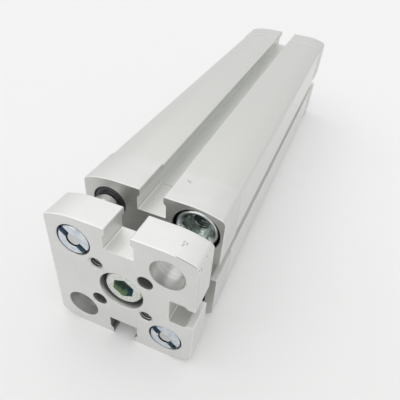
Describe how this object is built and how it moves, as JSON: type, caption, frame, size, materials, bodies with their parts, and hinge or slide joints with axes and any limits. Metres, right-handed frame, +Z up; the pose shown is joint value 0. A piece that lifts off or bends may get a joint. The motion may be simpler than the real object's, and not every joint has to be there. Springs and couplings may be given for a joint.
{
  "type": "guided compact pneumatic cylinder",
  "caption": "Square aluminium pneumatic cylinder with sensor slots along its sides and a slotted front plate that slides out on a piston rod and guide rods.",
  "frame": {"origin": "centre of the rear mounting face, on the piston axis", "axes": "+Y along the piston axis out of the rear face, so the front plate faces -Y; +Z up; the ports face -X"},
  "size_m": [0.029, 0.1247, 0.029],
  "materials": {
    "milled_aluminium": "fine milled, satin",
    "anodised_aluminium": "matt anodised",
    "turned_aluminium": "turned",
    "zinc_steel": "bright zinc plated",
    "zinc_steel_dark": "dark zinc plated",
    "chrome_steel": "ground and hard chromed",
    "black_polymer": "satin black",
    "bronze": "sintered",
    "seal_rubber": "matt",
    "bonded_magnet": "moulded"
  },
  "bodies": {
    "cylinder_body": {"barrel": "anodised_aluminium", "front_cap": "milled_aluminium", "rear_cap": "milled_aluminium", "front_flange_screws": "zinc_steel_dark", "rear_flange_screws": "zinc_steel_dark", "guide_bush_upper": "black_polymer", "guide_bush_lower": "black_polymer", "rod_bush": "bronze", "rod_seal": "seal_rubber", "front_cap_o_ring": "seal_rubber", "rear_cap_o_ring": "seal_rubber"},
    "plate_and_rods": {"front_plate": "milled_aluminium", "plate_screw": "zinc_steel", "guide_rod_upper": "chrome_steel", "guide_rod_lower": "chrome_steel", "guide_rod_nut_upper": "zinc_steel", "guide_rod_nut_lower": "zinc_steel", "piston_rod": "chrome_steel", "piston_front_half": "turned_aluminium", "piston_rear_half": "turned_aluminium", "piston_front_seal": "seal_rubber", "piston_rear_seal": "seal_rubber", "piston_magnet": "bonded_magnet", "piston_wear_ring": "black_polymer", "piston_screw": "zinc_steel", "front_bumper": "seal_rubber", "rear_bumper": "seal_rubber"}
  },
  "joints": [
    {"name": "plate_slide", "type": "slide", "parent": "cylinder_body", "child": "plate_and_rods", "axis": [0, -1, 0], "range_m": [0, 0.075]}
  ]
}
